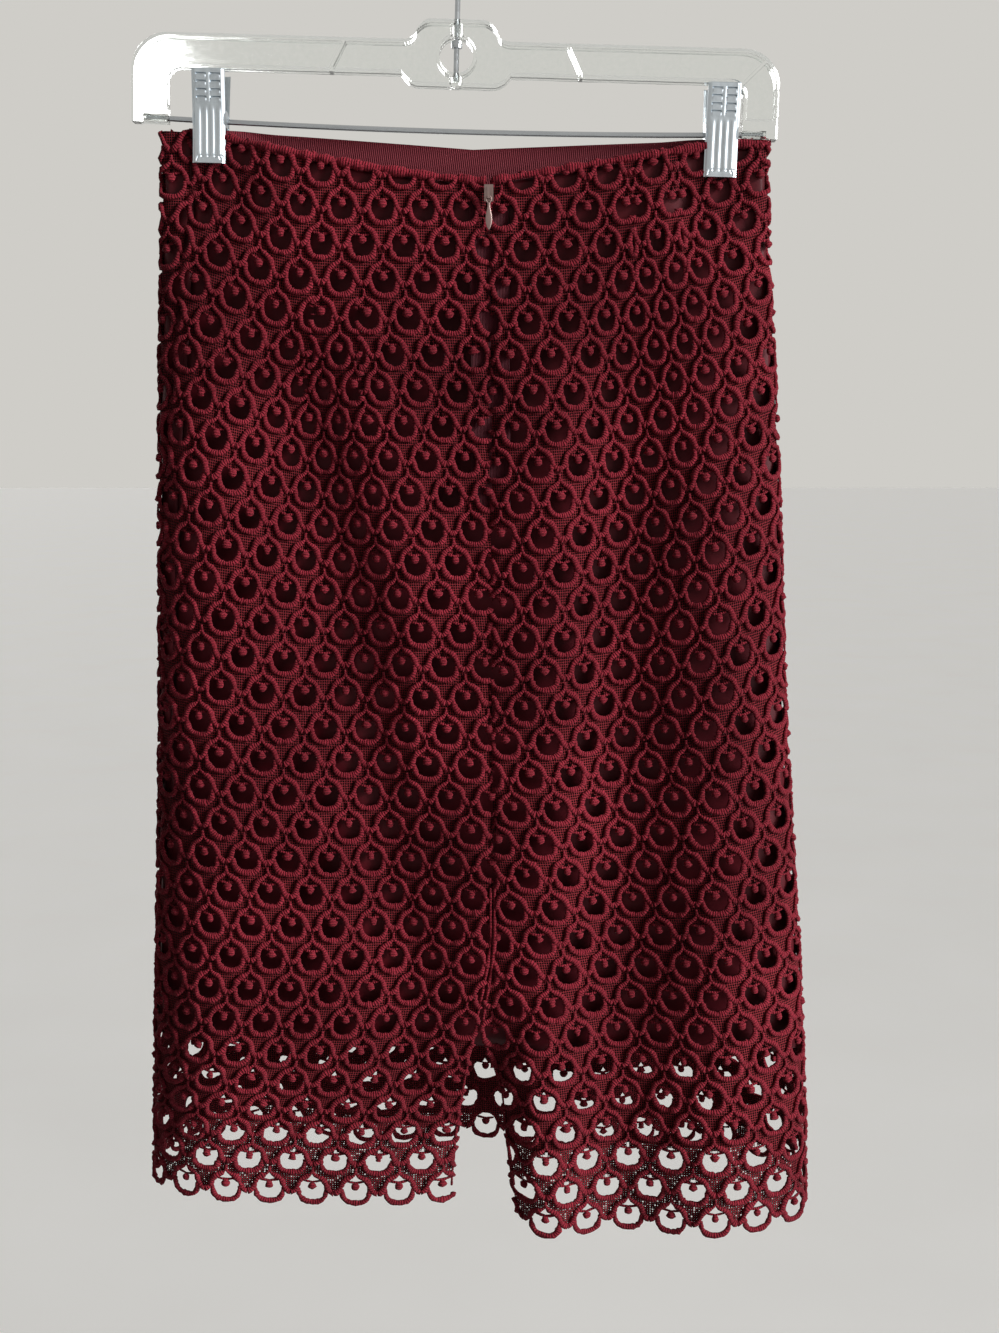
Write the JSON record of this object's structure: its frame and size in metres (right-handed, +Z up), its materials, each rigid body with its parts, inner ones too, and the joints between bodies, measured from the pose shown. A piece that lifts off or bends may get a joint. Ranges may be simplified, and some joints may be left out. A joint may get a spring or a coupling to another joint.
{
  "type": "crochet pencil skirt on a clip hanger",
  "caption": "Knee-length pencil skirt of scale-patterned corded lace over a lining, with a back zip and open back vent, clipped by its waist to a clear skirt hanger.",
  "frame": {"origin": "the point inside the crown of the hanger's hook that rests on a rail", "axes": "+Z up, +X to the right seen from the skirt's back, -Y towards whoever looks at the skirt's back"},
  "size_m": [0.3963, 0.1224, 0.7621],
  "materials": {
    "lace": "matte corded lace, satin-stitched cords over a net ground",
    "lining": "smooth lining with a soft satin sheen",
    "ribbon": "fine upright ribs, low sheen",
    "zip_tape": "matte woven tape",
    "slider_metal": "polished metal with a faint rose tint",
    "clip_steel": "bright plated pressed steel",
    "rod_steel": "bright drawn wire",
    "clear_plastic": "clear glossy moulded plastic"
  },
  "bodies": {
    "garment_on_hanger": {"back_left_panel": "lace", "back_right_panel": "lace", "front_panel": "lace", "lining_back": "lining", "lining_front": "lining", "waist_facing": "ribbon", "zip_tape": "zip_tape", "zip_slider": "slider_metal", "hanger_frame": "clear_plastic", "hanger_hook": "rod_steel", "hanger_rod": "rod_steel", "clip_left_near_jaw": "clip_steel", "clip_left_far_jaw": "clip_steel", "clip_left_spring": "rod_steel", "clip_right_near_jaw": "clip_steel", "clip_right_far_jaw": "clip_steel", "clip_right_spring": "rod_steel"},
    "pull_tab": {"zip_pull": "slider_metal"}
  },
  "joints": [
    {"name": "pull_tab_swing", "type": "hinge", "parent": "garment_on_hanger", "child": "pull_tab", "pos_m": [0.01514, -0.01447, -0.16867], "axis": [-1, 0, 0], "range_deg": [0, 140]}
  ]
}
